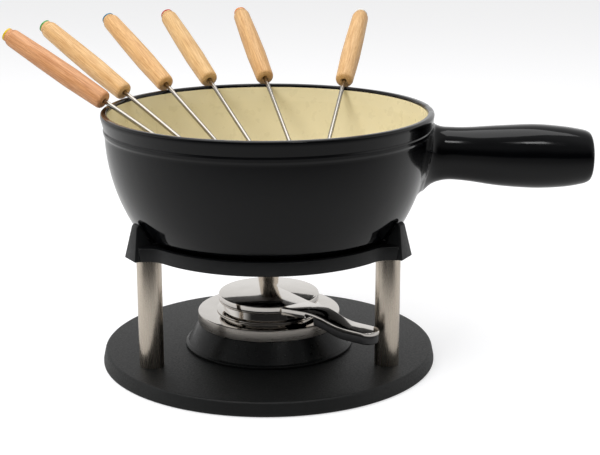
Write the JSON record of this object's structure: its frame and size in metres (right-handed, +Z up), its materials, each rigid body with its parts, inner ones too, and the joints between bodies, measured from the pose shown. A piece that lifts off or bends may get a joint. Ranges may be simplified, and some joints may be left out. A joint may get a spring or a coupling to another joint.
{
  "type": "fondue pot set",
  "caption": "Fondue pot with one handle on a three-post stand, with a spirit burner, its snuffer lid and wooden-handled forks resting on the rim.",
  "frame": {"origin": "middle of the anti-slip pad's underside, where the set stands on the table", "axes": "+Z up; +X along the pot's handle; the front, where the burner slides out between two posts, faces -Y"},
  "size_m": [0.4001, 0.3028, 0.2222],
  "materials": {
    "matte_black": "matte, fine texture",
    "rubber_pad": "matte",
    "brushed_steel": "brushed lengthwise",
    "fastener_steel": "plain",
    "cast_black": "satin black",
    "satin_black": "satin",
    "polished_steel": "polished",
    "wick_fibre": "felted",
    "gauze_steel": "woven",
    "grip_plastic": "matte",
    "enamel": "gloss black enamel outside, satin cream enamel inside",
    "fork_steel": "satin",
    "handle_wood": "fine-grained, oiled",
    "cap_yellow": "gloss",
    "cap_green": "gloss",
    "cap_blue": "gloss",
    "cap_red": "gloss",
    "cap_orange": "gloss",
    "cap_white": "gloss"
  },
  "bodies": {
    "stand": {"base_plate": "matte_black", "base_pad": "rubber_pad", "post_back": "brushed_steel", "post_left": "brushed_steel", "post_right": "brushed_steel", "tie_bolts": "fastener_steel", "bolt_washers": "fastener_steel", "support_ring": "cast_black"},
    "burner": {"burner_foot": "satin_black", "burner_drum": "polished_steel"},
    "cup": {"fuel_cup": "polished_steel", "wick_pad": "wick_fibre", "wire_gauze": "gauze_steel"},
    "lid": {"snuffer_lid": "polished_steel", "lid_grip": "grip_plastic", "grip_screws": "fastener_steel"},
    "pot": {"pot_casting": "enamel"},
    "fork_1": {"fork_1_prongs": "fork_steel", "fork_1_wood": "handle_wood", "fork_1_cap": "cap_yellow"},
    "fork_2": {"fork_2_prongs": "fork_steel", "fork_2_wood": "handle_wood", "fork_2_cap": "cap_green"},
    "fork_3": {"fork_3_prongs": "fork_steel", "fork_3_wood": "handle_wood", "fork_3_cap": "cap_blue"},
    "fork_4": {"fork_4_prongs": "fork_steel", "fork_4_wood": "handle_wood", "fork_4_cap": "cap_red"},
    "fork_5": {"fork_5_prongs": "fork_steel", "fork_5_wood": "handle_wood", "fork_5_cap": "cap_orange"},
    "fork_6": {"fork_6_prongs": "fork_steel", "fork_6_wood": "handle_wood", "fork_6_cap": "cap_white"}
  },
  "joints": [
    {"name": "burner_slide", "type": "slide", "parent": "stand", "child": "burner", "axis": [0, -1, 0], "range_m": [0, 0.1]},
    {"name": "lid_turn", "type": "hinge", "parent": "burner", "child": "cup", "pos_m": [0, 0, 0.034], "axis": [0, 0, 1], "range_deg": [-90, 0]},
    {"name": "lid_lift", "type": "slide", "parent": "cup", "child": "lid", "axis": [0, 0, 1], "range_m": [0, 0.03]},
    {"name": "pot_lift", "type": "slide", "parent": "stand", "child": "pot", "axis": [0, 0, 1], "range_m": [0, 0.12]},
    {"name": "fork_1_pull", "type": "slide", "parent": "pot", "child": "fork_1", "axis": [-0.7909, 0.3943, 0.468], "range_m": [0, 0.167]},
    {"name": "fork_2_pull", "type": "slide", "parent": "pot", "child": "fork_2", "axis": [-0.6964, 0.5441, 0.468], "range_m": [0, 0.167]},
    {"name": "fork_3_pull", "type": "slide", "parent": "pot", "child": "fork_3", "axis": [-0.538, 0.7011, 0.468], "range_m": [0, 0.167]},
    {"name": "fork_4_pull", "type": "slide", "parent": "pot", "child": "fork_4", "axis": [-0.4012, 0.7874, 0.468], "range_m": [0, 0.167]},
    {"name": "fork_5_pull", "type": "slide", "parent": "pot", "child": "fork_5", "axis": [-0.2213, 0.8556, 0.468], "range_m": [0, 0.167]},
    {"name": "fork_6_pull", "type": "slide", "parent": "pot", "child": "fork_6", "axis": [0.1988, 0.8611, 0.468], "range_m": [0, 0.167]}
  ]
}
